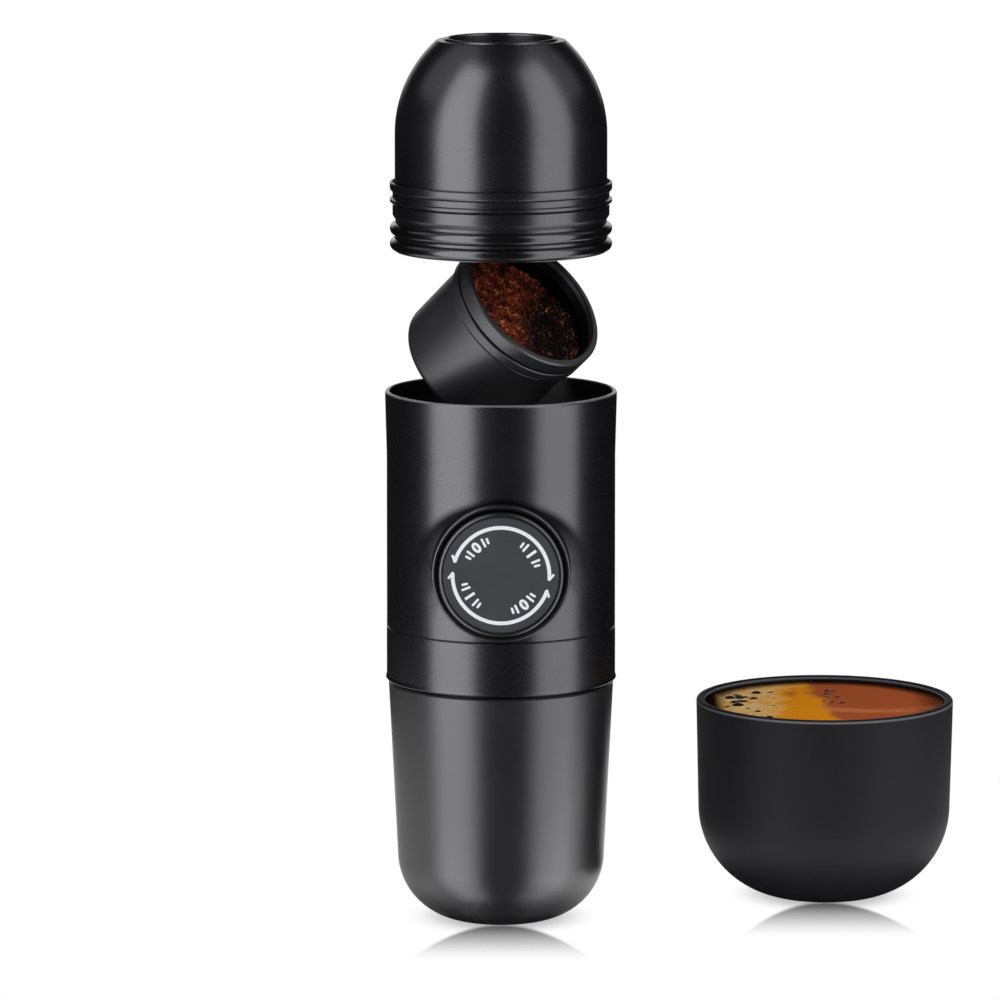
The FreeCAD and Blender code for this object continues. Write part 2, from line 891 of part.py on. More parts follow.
def outlet_lip_ring():
    low = head_base + outlet_bowl_height
    top = dome_top + outlet_ring_rise
    inner = outlet_ring_radius - outlet_ring_wall
    middle = outlet_ring_radius - outlet_ring_wall / 2
    spout_hole = spout_radius + outlet_gap
    return turned(
        (spout_hole, low),
        (outlet_ring_radius - outlet_bowl_chamfer, low),
        (outlet_ring_radius, low + outlet_bowl_chamfer),
        (outlet_ring_radius, top - outlet_ring_wall / 2),
        ((middle, top), (inner, top - outlet_ring_wall / 2)),
        (inner, low + outlet_bowl_floor),
        (spout_hole, low + outlet_bowl_floor))


def head_funnel():
    plate_top = funnel_base + funnel_thickness
    height = plate_top - head_base
    outer = dome_radius_at(height, dome_bore_curve) - funnel_gap
    cone_top = funnel_base + funnel_cone_height
    slant = funnel_tube - funnel_bore
    return turned(
        (funnel_mouth, funnel_base),
        (outer, funnel_base),
        (outer, plate_top),
        (funnel_mouth + slant, plate_top),
        (funnel_tube, cone_top + slant),
        (funnel_tube, head_base + funnel_top),
        (funnel_bore, head_base + funnel_top),
        (funnel_bore, cone_top))


def outlet_spout():
    low = head_base + funnel_top
    top = head_base + spout_top
    return turned(
        (spout_bore, low),
        (spout_radius, low),
        (spout_radius, top - spout_rounding),
        rounded((spout_radius - spout_rounding, top - spout_rounding), spout_rounding, 0, 90),
        (spout_bore + spout_chamfer, top),
        (spout_bore, top - spout_chamfer))


def head_gasket():
    return ring(head_gasket_outer, head_gasket_inner, head_gasket_base, funnel_base)


def head_screen():
    radius = head_gasket_inner - head_screen_gap
    low = funnel_base - head_screen_thickness
    return perforated(radius, low, funnel_base, shower_hole, shower_rings)


# ---- Filter basket, made in its seat and then tipped to where it rests ----

def tipped(shape):
    """Turns a piece of the seated basket about the pole that carries it to its place at rest."""
    pole = basket_pole()
    heading = math.radians(basket_heading)
    axis = Vector(-math.sin(heading), math.cos(heading), 0)
    moved = shape.copy()
    moved.rotate(pole, axis, basket_tilt)
    return moved


def basket_pole():
    """The point that the turn by the tilt leaves in place, worked out in the upright plane."""
    tilt = math.radians(basket_tilt)
    heading = math.radians(basket_heading)
    across = basket_rest_offset
    spread = 1 / (2 * math.tan(tilt / 2))
    along = across / 2 + basket_rest_rise * spread
    height = basket_seat + basket_rest_rise / 2 - across * spread
    return Vector(along * math.cos(heading), along * math.sin(heading), height)


def filter_basket():
    low_corner = (basket_base_radius - basket_corner, basket_seat + basket_corner)
    inner_base = basket_base_radius - basket_wall
    inner_top = basket_top_radius - basket_wall
    top = basket_seat + basket_height
    seat = basket_ring_seat - basket_ring_gap
    lip_inner = basket_rim_radius - basket_lip_wall
    return tipped(turned(
        (basket_floor_hole, basket_seat),
        (low_corner[0], basket_seat),
        rounded(low_corner, basket_corner, -90, 0),
        (basket_top_radius, basket_seat + basket_low_groove - basket_edge),
        (basket_top_radius - basket_edge, basket_seat + basket_low_groove),
        (basket_groove_radius, basket_seat + basket_low_groove),
        (basket_groove_radius, basket_seat + basket_ring_low),
        (seat, basket_seat + basket_ring_low),
        (seat, basket_seat + basket_ring_high),
        (basket_groove_radius, basket_seat + basket_ring_high),
        (basket_groove_radius, basket_seat + basket_high_groove),
        (basket_rim_radius - basket_edge, basket_seat + basket_high_groove),
        (basket_rim_radius, basket_seat + basket_high_groove + basket_edge),
        (basket_rim_radius, top - basket_rim_chamfer),
        (basket_rim_radius - basket_rim_chamfer, top),
        (lip_inner, top),
        (lip_inner, top - basket_lip_height),
        (inner_top, top - basket_lip_height - basket_lip_slope),
        (inner_top, basket_seat + basket_low_groove),
        (inner_base, basket_seat + basket_floor + basket_floor_chamfer),
        (inner_base - basket_floor_chamfer, basket_seat + basket_floor),
        (basket_floor_hole, basket_seat + basket_floor)))


def basket_ring():
    low = basket_seat + basket_ring_low
    high = basket_seat + basket_ring_high
    return tipped(turned(
        (basket_ring_seat, low),
        (basket_ring_radius - basket_edge, low),
        (basket_ring_radius, low + basket_edge),
        (basket_ring_radius, high - basket_edge),
        (basket_ring_radius - basket_edge, high),
        (basket_ring_seat, high)))


def basket_screen():
    low = basket_seat + basket_floor
    return tipped(perforated(basket_screen_radius, low, low + basket_screen_thickness,
                             basket_screen_hole, basket_screen_rings))


# ---- Cup ----

def espresso_cup():
    corner = (cup_low_radius - cup_corner, cup_corner)
    inner_corner = cup_corner - cup_wall
    inner_rim = cup_rim_radius - cup_wall
    rim_centre = (cup_rim_radius - cup_rim_rounding, cup_height - cup_rim_rounding)
    inner_centre = (inner_rim + cup_rim_rounding, cup_height - cup_rim_rounding)
    cup = turned(
        (0, 0),
        (corner[0], 0),
        rounded(corner, cup_corner, -90, 0),
        (cup_rim_radius, rim_centre[1]),
        rounded(rim_centre, cup_rim_rounding, 0, 90),
        (inner_centre[0], cup_height),
        rounded(inner_centre, cup_rim_rounding, 90, 180),
        (cup_low_radius - cup_wall, cup_corner),
        rounded(corner, inner_corner, 0, -90),
        (0, cup_wall))
    return shifted(cup, cup_x, cup_y)


pieces = {
    "water_tank": water_tank(),
    "tank_gasket": tank_gasket(),
    "lower_band": lower_band(),
    "body_shell": body_shell(),
    "brew_deck": brew_deck(),
    "shower_screen": shower_screen(),
    "shower_screw": shower_screw(),
    "chamber_gasket": chamber_gasket(),
    "base_plate": base_plate(),
    "chassis_posts": chassis_posts(),
    "chassis_screws": chassis_screws(),
    "pump_cradle": pump_cradle(),
    "pump_barrel": pump_barrel(),
    "rod_guide": rod_guide(),
    "piston_rod": piston_rod(),
    "piston_head": piston_head(),
    "piston_seal": piston_seal(),
    "return_spring": return_spring(),
    "knob_guide": knob_guide(),
    "knob_cap": knob_cap(),
    "knob_face": knob_face(),
    "knob_screw": knob_screw(),
    "inlet_valve_body": inlet_valve_body(),
    "inlet_ball": inlet_ball(),
    "intake_filter": intake_filter(),
    "outlet_valve_body": outlet_valve_body(),
    "outlet_poppet": outlet_poppet(),
    "outlet_valve_spring": outlet_valve_spring(),
    "vent_valve": vent_valve(),
    "outlet_head": outlet_head(),
    "head_ring_lower": head_ring(lower_ring_height),
    "head_ring_upper": head_ring(upper_ring_height),
    "outlet_lip_ring": outlet_lip_ring(),
    "head_funnel": head_funnel(),
    "outlet_spout": outlet_spout(),
    "head_gasket": head_gasket(),
    "head_screen": head_screen(),
    "filter_basket": filter_basket(),
    "basket_ring": basket_ring(),
    "basket_screen": basket_screen(),
    "espresso_cup": espresso_cup(),
}

os.makedirs("parts", exist_ok=True)
for name, shape in pieces.items():
    shape.exportStep(os.path.join("parts", name + ".step"))
    print(name, "solids", len(shape.Solids), "volume", round(shape.Volume, 1),
          "valid", shape.isValid())
pole = basket_pole()
print("basket pole", round(pole.x, 3), round(pole.y, 3), round(pole.z, 3))
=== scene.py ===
"""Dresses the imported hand-pumped espresso maker: plastics, dial marks, coffee, studio."""

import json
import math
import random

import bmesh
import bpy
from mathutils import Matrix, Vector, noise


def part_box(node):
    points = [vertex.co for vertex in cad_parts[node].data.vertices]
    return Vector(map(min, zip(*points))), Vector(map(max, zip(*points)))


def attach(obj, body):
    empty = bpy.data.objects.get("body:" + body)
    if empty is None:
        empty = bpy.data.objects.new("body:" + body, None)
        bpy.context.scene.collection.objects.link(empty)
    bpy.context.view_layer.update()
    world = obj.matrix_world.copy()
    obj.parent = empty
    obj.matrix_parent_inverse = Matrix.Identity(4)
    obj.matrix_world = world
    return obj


bl_info = {
    "name": "Hand Espresso Maker",
    "version": (1, 0, 0),
    "blender": (4, 5, 0),
    "location": "View3D > Sidebar > Espresso Maker",
    "description": "Finishes, contents and studio for a hand-pumped espresso maker",
    "category": "Object",
}

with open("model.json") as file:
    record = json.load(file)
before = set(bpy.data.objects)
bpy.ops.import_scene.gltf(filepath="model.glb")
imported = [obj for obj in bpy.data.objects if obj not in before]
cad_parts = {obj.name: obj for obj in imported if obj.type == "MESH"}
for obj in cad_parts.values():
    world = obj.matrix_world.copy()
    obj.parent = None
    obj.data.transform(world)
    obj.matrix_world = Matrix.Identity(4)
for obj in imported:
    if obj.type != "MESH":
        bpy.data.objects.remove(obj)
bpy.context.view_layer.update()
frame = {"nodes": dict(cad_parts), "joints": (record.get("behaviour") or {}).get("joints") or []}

ORIGIN = Vector((0, 0, 0))

# How far a mark on the dial reaches into the face that carries it
SUNK = 0.0001

# In degrees round the dial: the ends of each arrow, the numbers, and the ticks beside each number
# with their share of the full length
ARROWS = ((-5.1, 163.1), (176.9, 341.6))
NUMBERS = (("0", 131.0), ("1", 35.5), ("1", 213.7), ("0", 308.0))
TICKS = ((-20, 0.6), (-13, 1.0), (13, 1.0), (20, 0.6))

# The basket's bore, and the lip above it, which opens towards the rim
BASKET_BORE = 0.01755
LIP_FLARE = 0.00135
LIP_DEPTH = 0.0032

# The heap of ground coffee: how far its middle lies under the rim, how much it slopes, and its
# lumps as (lumps to a metre, layer of the noise, height)
HEAP_DEPTH = 0.0040
HEAP_SLOPE = 0.20
LUMPS = ((230, 0, 0.0010), (620, 3, 0.0006), (1500, 7, 0.00035))
HEAP_CELLS = 150

# The loose grains: how many are made at a time, and as shares of their size the spread round the
# mean, the ranges of their three widths, how far their middle stands over the heap, and their
# roughness
GRAIN_BATCH = 100
GRAIN_SPREAD = (0.45, 1.9)
GRAIN_WIDTHS = ((0.5, 1.2), (0.5, 1.0), (0.4, 0.9))
GRAIN_LIFT = 0.15
GRAIN_JAG = 0.09

# The espresso's surface: its rings, the hair between it and the wall, how it rises where it wets
# the wall, its ripples, and how deep its edge hangs
BREW_RINGS = 40
BREW_SEGMENTS = 128
WALL_GAP = 0.00015
WET_RISE = 0.0005
WET_WIDTH = 0.0009
RIPPLE_HEIGHT = 0.00012
RIPPLES_TO_A_METRE = 180
BREW_SKIRT = 0.003

# The bubbles: where most gather, across the cup and along it as shares of its inner radius, the
# least radius and what is added to it, then the share of small ones right of the golden middle,
# their places and radii, and how flat and how deep every bubble lies
BUBBLE_ACROSS = (-0.86, -0.42)
BUBBLE_ALONG = (-0.75, 0.62)
BUBBLE_RADIUS = 0.0005
BUBBLE_MORE = 0.0013
SMALL_SHARE = 0.2
SMALL_ACROSS = (-0.02, 0.16)
SMALL_ALONG = (-0.1, 0.6)
SMALL_RADII = (0.0006, 0.0009)
BUBBLE_FLAT = 0.62
BUBBLE_SUNK = 0.12

# Moulded plastic: the size and strength of its mottling, the tone of a painted highlight line, and
# the dull black of painted shade
MOTTLE_SIZE = 0.018
MOTTLE_SHARE = 0.25
HIGHLIGHT_TONE = (0.42, 0.42, 0.44)
SHADE_BLACK = (0.0015, 0.0013, 0.0013)

# The painted highlight line at a rim: half its width, how far under each rim it lies, and its
# strength there
HIGHLIGHT_HALF_WIDTH = 0.0004
SHELL_HIGHLIGHT_DEPTH = 0.0001
SHELL_HIGHLIGHT_SHARE = 0.45
CUP_HIGHLIGHT_DEPTH = 0.0006
CUP_HIGHLIGHT_SHARE = 0.35

# The crescent of painted shade over the knob: the radii where it is full and where it ends, its
# squeeze across and up, the depths and heights over which it comes in, and its strength
SHADE_RADII = (0.0180, 0.0206)
SHADE_SQUEEZE = (0.88, 1.10)
SHADE_DEPTHS = (0.0, -0.010)
SHADE_HEIGHTS = (-0.008, 0.012)
SHADE_SHARE = 0.95

# The painted shade in a bore: how far inside its radius it is full, and its strength there
BORE_FADE = 0.0005
BORE_SHARE = 0.9

# Tones of the coffee that follow from its place and not from a setting
SHADED_GROUND = (0.002, 0.0006, 0.0004)
PALE_BREW = (0.78, 0.25, 0.085)
SHADED_BREW = (0.012, 0.005, 0.003)
BREW_IN_GLOSS = (0.012, 0.008, 0.007)
BUBBLE_WINDOW = (0.020, 0.005, 0.002)

# A foot's mirror image on the floor: where it starts in front of the foot's middle, how fast it
# spreads to the sides, where it fades out and where it is full, and its strength there
MIRROR_START = 0.0105
MIRROR_SPREAD = 0.0132
MIRROR_FADE = (0.056, 0.012)
MIRROR_SHARE = 0.8

# What a reflection sees: the room's dark, the white window behind the object as ranges of the ray's
# direction, and the floor's glow, which is bright at the sides and ends near the cup, in front of
# the object and far off
ROOM_DARK = 0.008
WINDOW_BACK = (0.90, 0.97)
WINDOW_FOOT = (-0.02, 0.03)
WINDOW_TOP = (0.34, 0.26)
GLOW_LEFT = (-0.012, -0.040)
GLOW_RIGHT = (0.012, 0.040)
GLOW_SHARES = (0.5, 0.9)
GLOW_AROUND_CUP = (0.036, 0.044)
GLOW_FROM_FRONT = (-0.09, -0.03)
GLOW_FAR = (0.28, 0.20)
GLOW_LEAST = 0.01

# The soft shadow round a foot: the distances where it ends and where it is full, and its strength
SHADOW_FADE = (0.026, 0.012)
SHADOW_SHARE = 0.5

# The lamps: where the tall soft boxes look, and the high ones' place, aim, size and right share
TALL_AIM = Vector((0, 0, 0.65))
HIGH_PLACE = Vector((0.62, 0.12, 0.86))
HIGH_AIM = Vector((0, 0, 0.2))
HIGH_SIZE = (0.55, 0.9)
HIGH_RIGHT_SHARE = 0.8

# The soft boxes' colour, a little cooler than white
LAMP_TINT = (0.96, 0.965, 1.03)

# The CAD nodes that each finish covers
SHELL_NODES = ("body_shell", "lower_band")
TANK_NODES = ("water_tank",)
HEAD_NODES = ("outlet_head",)
RING_NODES = ("head_ring_lower", "head_ring_upper")
LIP_NODES = ("outlet_lip_ring",)
KNOB_NODES = ("knob_cap", "knob_guide")
BASKET_NODES = ("filter_basket", "basket_ring")
DECK_NODES = ("brew_deck", "base_plate", "head_funnel", "chassis_posts", "pump_cradle")
PUMP_NODES = ("pump_barrel", "rod_guide", "piston_rod", "piston_head", "inlet_valve_body",
              "outlet_valve_body", "outlet_poppet")
RUBBER_NODES = ("tank_gasket", "chamber_gasket", "head_gasket", "piston_seal", "vent_valve")
STEEL_NODES = ("shower_screen", "shower_screw", "head_screen", "basket_screen", "intake_filter",
               "chassis_screws", "knob_screw", "return_spring", "outlet_valve_spring",
               "inlet_ball")


# ---- Places read from the frame ----

def centre_of(node):
    """The middle of a CAD node's box, in metres."""
    low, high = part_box(node)
    return (low + high) / 2


def basket_at_rest():
    """The turn that takes the seated basket, upright on the body's axis, to where it rests."""
    joint = next(j for j in frame["joints"] if j["name"] == "basket_tip")
    pole = Vector(joint["pos_m"])
    turn = Matrix.Rotation(-math.radians(joint["range_deg"][0]), 4, Vector(joint["axis"]))
    return Matrix.Translation(pole) @ turn @ Matrix.Translation(-pole)


def seated_basket_box():
    """Lowest and highest height of the basket in its seat."""
    back = basket_at_rest().inverted()
    heights = [(back @ v.co).z for v in frame["nodes"]["filter_basket"].data.vertices]
    return min(heights), max(heights)


# ---- Sizes and colours that a user may change ----

def colour_property(name, description, value):
    return bpy.props.FloatVectorProperty(
        name=name, description=description, subtype="COLOR", size=3, min=0.0, max=1.0,
        default=value)


def length_property(name, description, value):
    return bpy.props.FloatProperty(
        name=name, description=description, default=value, unit="LENGTH")


def power_property(name, description, value):
    return bpy.props.FloatProperty(
        name=name, description=description, default=value, unit="POWER")


def share_property(name, description, value):
    return bpy.props.FloatProperty(
        name=name, description=description, default=value, min=0.0, max=1.0, subtype="FACTOR")


class PlasticSettings(bpy.types.PropertyGroup):
    """Colours and surface of the moulded parts."""
    shell_colour: colour_property("Shell", "Colour of the body and the outlet head",
                                  (0.0018, 0.0018, 0.0026))
    tank_colour: colour_property("Tank", "Colour of the water tank", (0.0030, 0.0030, 0.0036))
    ring_colour: colour_property("Rings", "Colour of the soft rings", (0.0010, 0.0010, 0.0012))
    knob_colour: colour_property("Knob", "Colour of the knob and its guide",
                                 (0.0030, 0.0030, 0.0036))
    dial_colour: colour_property("Dial", "Colour of the knob's face", (0.048, 0.050, 0.054))
    basket_colour: colour_property("Basket", "Colour of the filter basket",
                                   (0.0110, 0.0110, 0.0120))
    cup_colour: colour_property("Cup", "Colour of the cup", (0.0045, 0.0045, 0.0062))
    deck_colour: colour_property("Deck", "Colour of the inner frame", (0.006, 0.006, 0.007))
    pump_colour: colour_property("Pump", "Colour of the pump's natural plastic",
                                 (0.62, 0.61, 0.57))
    grain_size: length_property("Grain", "Size of the moulded grain", 0.00028)
    grain_depth: length_property("Grain depth", "Depth of the moulded grain", 0.000006)


class DialSettings(bpy.types.PropertyGroup):
    """White marks on the knob's face."""
    arc_radius: length_property("Arc radius", "Radius of the turning arrows", 0.01242)
    stroke: length_property("Stroke", "Width of the arrows' line", 0.00096)
    barb_out: length_property("Barb out", "How far a barb reaches outwards", 0.0010)
    barb_back: length_property("Barb back", "How far a barb reaches back along its arc", 0.0012)
    number_size: length_property("Number size", "Type size of the numbers", 0.0038)
    number_bold: length_property("Number weight", "How much a number's line is thickened", 0.00019)
    scale_radius: length_property("Scale place", "How far out the numbers and ticks stand", 0.0096)
    tick_length: length_property("Tick", "Length of a tick beside a number", 0.0019)
    tick_width: length_property("Tick width", "Width of a tick", 0.00062)
    thickness: length_property("Thickness", "How far the marks stand proud", 0.00005)
    ink: colour_property("Ink", "Colour of the marks", (0.95, 0.96, 0.97))


class CoffeeSettings(bpy.types.PropertyGroup):
    """Ground coffee in the basket and espresso in the cup."""
    grain_count: bpy.props.IntProperty(
        name="Grains", description="Loose grains on the ground coffee", default=3400, min=0)
    grain_size: length_property("Grain size", "Mean size of a loose grain", 0.00062)
    dark_ground: colour_property("Dark grounds", "Darkest colour of the ground coffee",
                                 (0.010, 0.0012, 0.0006))
    light_ground: colour_property("Light grounds", "Lighter colour of the ground coffee",
                                  (0.30, 0.048, 0.014))
    bright_ground: colour_property("Bright grounds", "Colour of the brightest grains",
                                   (0.85, 0.27, 0.10))
    liquid_depth: length_property("Level", "How far the espresso lies below the rim", 0.0018)
    crema_colour: colour_property("Crema", "Colour of the pale foam", (0.95, 0.66, 0.27))
    gold_colour: colour_property("Gold", "Colour of the golden crema", (0.95, 0.34, 0.012))
    brew_colour: colour_property("Espresso", "Colour of the red-brown espresso",
                                 (0.50, 0.115, 0.036))
    bubble_count: bpy.props.IntProperty(
        name="Bubbles", description="Bubbles that stand on the crema", default=46, min=0)


class StudioSettings(bpy.types.PropertyGroup):
    """Camera, lamps and floor."""
    camera_place: bpy.props.FloatVectorProperty(
        name="Camera", description="Where the camera stands", subtype="TRANSLATION",
        unit="LENGTH", size=3, default=(-0.00026, -1.8, 0.3929))
    camera_dip: bpy.props.FloatProperty(
        name="Dip", description="How far the camera looks down", subtype="ANGLE",
        default=math.radians(8.904))
    lens: bpy.props.FloatProperty(
        name="Lens", description="Focal length on a 36 mm sensor", default=251.2, unit="CAMERA")
    box_distance: length_property("Lamp distance", "How far off the soft boxes stand", 0.95)
    box_width: length_property("Lamp width", "Width of a soft box", 0.80)
    box_height: length_property("Lamp height", "Height of a soft box", 2.6)
    floor_radius: length_property("Floor", "Radius of the pale floor", 0.28)
    left_power: power_property("Left lamp", "Power of the left soft box", 12.4)
    right_power: power_property("Right lamp", "Power of the right soft box", 8.6)
    top_power: power_property("Top lamps", "Power of the high soft box on the left", 0.5)
    ambient: share_property("Ambient", "Brightness of the room for matte surfaces", 0.25)


# ---- Shader expressions ----

class Expr:
    """A node's output. Arithmetic on it adds Math nodes to its finish."""

    def __init__(self, finish, socket):
        self.finish = finish
        self.socket = socket

    def maths(self, operation, *values):
        sockets = dict(enumerate(values))
        return self.finish.node("ShaderNodeMath", {"operation": operation}, sockets)

    def __add__(self, other):
        return self.maths("ADD", self, other)

    def __sub__(self, other):
        return self.maths("SUBTRACT", self, other)

    def __rsub__(self, other):
        return self.maths("SUBTRACT", other, self)

    def __mul__(self, other):
        return self.maths("MULTIPLY", self, other)

    def __pow__(self, other):
        return self.maths("POWER", self, other)

    __radd__ = __add__
    __rmul__ = __mul__

    def absolute(self):
        return self.maths("ABSOLUTE", self)

    def larger(self, other):
        return self.maths("MAXIMUM", self, other)

    def smaller(self, other):
        return self.maths("MINIMUM", self, other)

    def smooth(self, low, high):
        """0 below low and 1 above high, with a soft step between. low may be the larger."""
        return self.finish.node(
            "ShaderNodeMapRange", {"interpolation_type": "SMOOTHSTEP"},
            {"Value": self, "From Min": low, "From Max": high})


class Finish:
    """A node tree under construction, for a material or the world."""

    def __init__(self, tree):
        self.tree = tree
        self.tree.nodes.clear()

    def node(self, kind, settings=None, sockets=None, output=0):
        """Adds a node of any kind: its settings first, then the values or links of its sockets."""
        made = self.tree.nodes.new(kind)
        for name, value in (settings or {}).items():
            setattr(made, name, value)
        for key, value in (sockets or {}).items():
            socket = made.inputs[key]
            if isinstance(value, Expr):
                self.tree.links.new(value.socket, socket)
            elif socket.type == "RGBA" and len(value) == 3:
                socket.default_value = (*value, 1.0)
            else:
                socket.default_value = value
        if not made.outputs:
            return None
        return Expr(self, made.outputs[output])

    def place(self):
        """Object coordinates, which are the frame's own metres on every piece."""
        return self.node("ShaderNodeTexCoord", output="Object")

    def moved(self, vector, shift=(0, 0, 0), scale=(1, 1, 1)):
        return self.node("ShaderNodeMapping", {}, {
            "Vector": vector, "Location": shift, "Scale": scale})

    def parts(self, vector):
        """The x, y and z of a vector."""
        split = self.node("ShaderNodeSeparateXYZ", {}, {"Vector": vector})
        outputs = split.socket.node.outputs
        return [Expr(self, outputs[axis]) for axis in "XYZ"]

    def off_axis(self, vector, point, direction):
        """How far a place lies from the axis through a point along a unit direction."""
        offset = self.node("ShaderNodeVectorMath", {"operation": "SUBTRACT"},
                           {0: vector, 1: tuple(point)})
        across = self.node("ShaderNodeVectorMath", {"operation": "CROSS_PRODUCT"},
                           {0: offset, 1: tuple(direction)})
        return self.node("ShaderNodeVectorMath", {"operation": "LENGTH"}, {0: across}, output=1)

    def mixed(self, share, first, second):
        """A colour between two others."""
        return self.node("ShaderNodeMix", {"data_type": "RGBA"},
                         {0: share, 6: first, 7: second}, output=2)

    def noise(self, vector, size, detail=2.0, roughness=0.5):
        """Soft noise whose blotches are about size metres across."""
        return self.node("ShaderNodeTexNoise", {"noise_dimensions": "3D"}, {
            "Vector": vector, "Scale": 1 / size, "Detail": detail, "Roughness": roughness})

    def cells(self, vector, size):
        """A random colour for each cell, about size metres across."""
        return self.node("ShaderNodeTexVoronoi", {}, {"Vector": vector, "Scale": 1 / size},
                         output="Color")

    def bump(self, height, depth):
        return self.node("ShaderNodeBump", {}, {"Height": height, "Distance": depth})

    def ray(self, kind):
        """1 for rays of a kind that the Light Path node names, and 0 for all others."""
        return self.node("ShaderNodeLightPath", output=kind)

    def with_painted_shade(self, share, shader):
        """Paints shade: the shader with a share of it turned to dull black."""
        black = self.node("ShaderNodeBsdfDiffuse", {}, {"Color": SHADE_BLACK})
        return self.node("ShaderNodeMixShader", {}, {0: share, 1: shader, 2: black})


def distance_over(*lengths):
    """The length of the line whose parts are the expressions given."""
    return sum(length * length for length in lengths) ** 0.5


def new_material(name):
    material = bpy.data.materials.new(name)
    material.use_nodes = True
    return material, Finish(material.node_tree)


def close_material(finish, shader):
    finish.node("ShaderNodeOutputMaterial", {}, {"Surface": shader})


# ---- Finishes ----

def moulded(name, colour, roughness, specular=1.0, ior=1.70, painted_highlights=(), grain=1.0,
            shaded_bore=None, shade_above=None):
    """Satin moulded plastic: fine grain, faint mottling, painted highlight lines at named heights,
    and painted shade.

    Each painted highlight line is given as (height, half width, share) in metres and from 0 to 1.
    A bore given as a point and direction of an axis and its radius gets painted shade, dull black.
    shade_above is the middle of a round guide on the front, which gets a painted crescent of shade."""
    settings = bpy.context.scene.espresso_plastic
    material, finish = new_material(name)
    place = finish.place()
    x, y, z = finish.parts(place)
    cloud = finish.noise(place, MOTTLE_SIZE, 3.0, 0.55)
    speck = finish.noise(place, settings.grain_size, 2.0, 0.6)
    paler = tuple(min(1.0, c * 1.8 + 0.0015) for c in colour)
    tone = finish.mixed(cloud.smooth(0.30, 0.75) * MOTTLE_SHARE, colour, paler)
    # Painted highlight lines: a paler tone in a narrow band at each given height
    for level, half_width, share in painted_highlights:
        line = (z - level).absolute().smooth(half_width, half_width * 0.3)
        tone = finish.mixed(line * share, tone, HIGHLIGHT_TONE)
    shader = finish.node("ShaderNodeBsdfPrincipled", {}, {
        "Base Color": tone,
        "Roughness": roughness - 0.04 + 0.06 * cloud + 0.03 * speck,
        "Specular IOR Level": specular,
        "IOR": ior,
        "Normal": finish.bump(speck, settings.grain_depth * grain)})
    # Painted shade in a bore: its inside turns to dull black
    if shaded_bore:
        axis_point, direction, radius = shaded_bore
        inside = finish.off_axis(place, axis_point, direction).smooth(radius, radius - BORE_FADE)
        shader = finish.with_painted_shade(inside * BORE_SHARE, shader)
    # A painted crescent of shade over the guide: dull black above and beside it on the front
    if shade_above is not None:
        full, end = SHADE_RADII
        across, up = SHADE_SQUEEZE
        out = distance_over((x - shade_above.x) * across, (z - shade_above.z) * up)
        on_front = y.smooth(*SHADE_DEPTHS)
        above = (z - shade_above.z).smooth(*SHADE_HEIGHTS)
        shader = finish.with_painted_shade(out.smooth(end, full) * on_front * above * SHADE_SHARE, shader)
    close_material(finish, shader)
    return material


def brushed_steel():
    material, finish = new_material("brushed_steel")
    place = finish.place()
    streaks = finish.noise(finish.moved(place, scale=(1, 12, 1)), 0.0011, 3.0)
    tone = finish.mixed(streaks, (0.50, 0.50, 0.49), (0.66, 0.66, 0.65))
    shader = finish.node("ShaderNodeBsdfPrincipled", {}, {
        "Base Color": tone, "Roughness": 0.26 + 0.18 * streaks, "Metallic": 1.0,
        "Normal": finish.bump(streaks, 0.000004)})
    close_material(finish, shader)
    return material


def printed_white():
    """The dial's marks: matte ink with a slightly uneven coat."""
    ink = bpy.context.scene.espresso_dial.ink
    material, finish = new_material("dial_ink")
    speck = finish.noise(finish.place(), 0.00035, 2.0)
    tone = finish.mixed(speck.smooth(0.45, 0.8), tuple(ink), tuple(c * 0.86 for c in ink))
    shader = finish.node("ShaderNodeBsdfPrincipled", {}, {
        "Base Color": tone, "Roughness": 0.48 + 0.12 * speck,
        "Normal": finish.bump(speck, 0.000004)})
    close_material(finish, shader)
    return material


def ground_coffee():
    """Reddish-brown granules with orange specks, nearly black where they lie low in the shade."""
    coffee = bpy.context.scene.espresso_coffee
    rim = basket_at_rest() @ Vector((0, 0, seated_basket_box()[1]))
    material, finish = new_material("ground_coffee")
    place = finish.place()
    x, _, z = finish.parts(place)
    grain = finish.cells(place, coffee.grain_size)
    grey = finish.node("ShaderNodeRGBToBW", {}, {"Color": grain})
    cloud = finish.noise(place, 0.0042, 2.0)
    fine = finish.noise(place, 0.0005, 3.0)
    mottle = grey * 0.45 + cloud * 0.75 + fine * 0.55 - 0.36
    tone = finish.mixed(mottle.smooth(0.18, 0.82), tuple(coffee.dark_ground),
                        tuple(coffee.light_ground))
    tone = finish.mixed(mottle.smooth(0.62, 0.84), tone, tuple(coffee.bright_ground))
    shade_line = z - rim.z - (x - rim.x) * 0.35 + (cloud - 0.5) * 0.006
    low = shade_line.smooth(0.0022, -0.0030) * (x - rim.x).smooth(-0.0060, 0.0010)
    speck = mottle.smooth(0.66, 0.78)
    tone = finish.mixed(low * (1 - speck * 0.5) * 0.95, tone, SHADED_GROUND)
    shader = finish.node("ShaderNodeBsdfPrincipled", {}, {
        "Base Color": tone, "Roughness": 0.72 + 0.2 * fine, "Specular IOR Level": 0.2,
        "Normal": finish.bump(fine, 0.00012)})
    close_material(finish, shader)
    return material


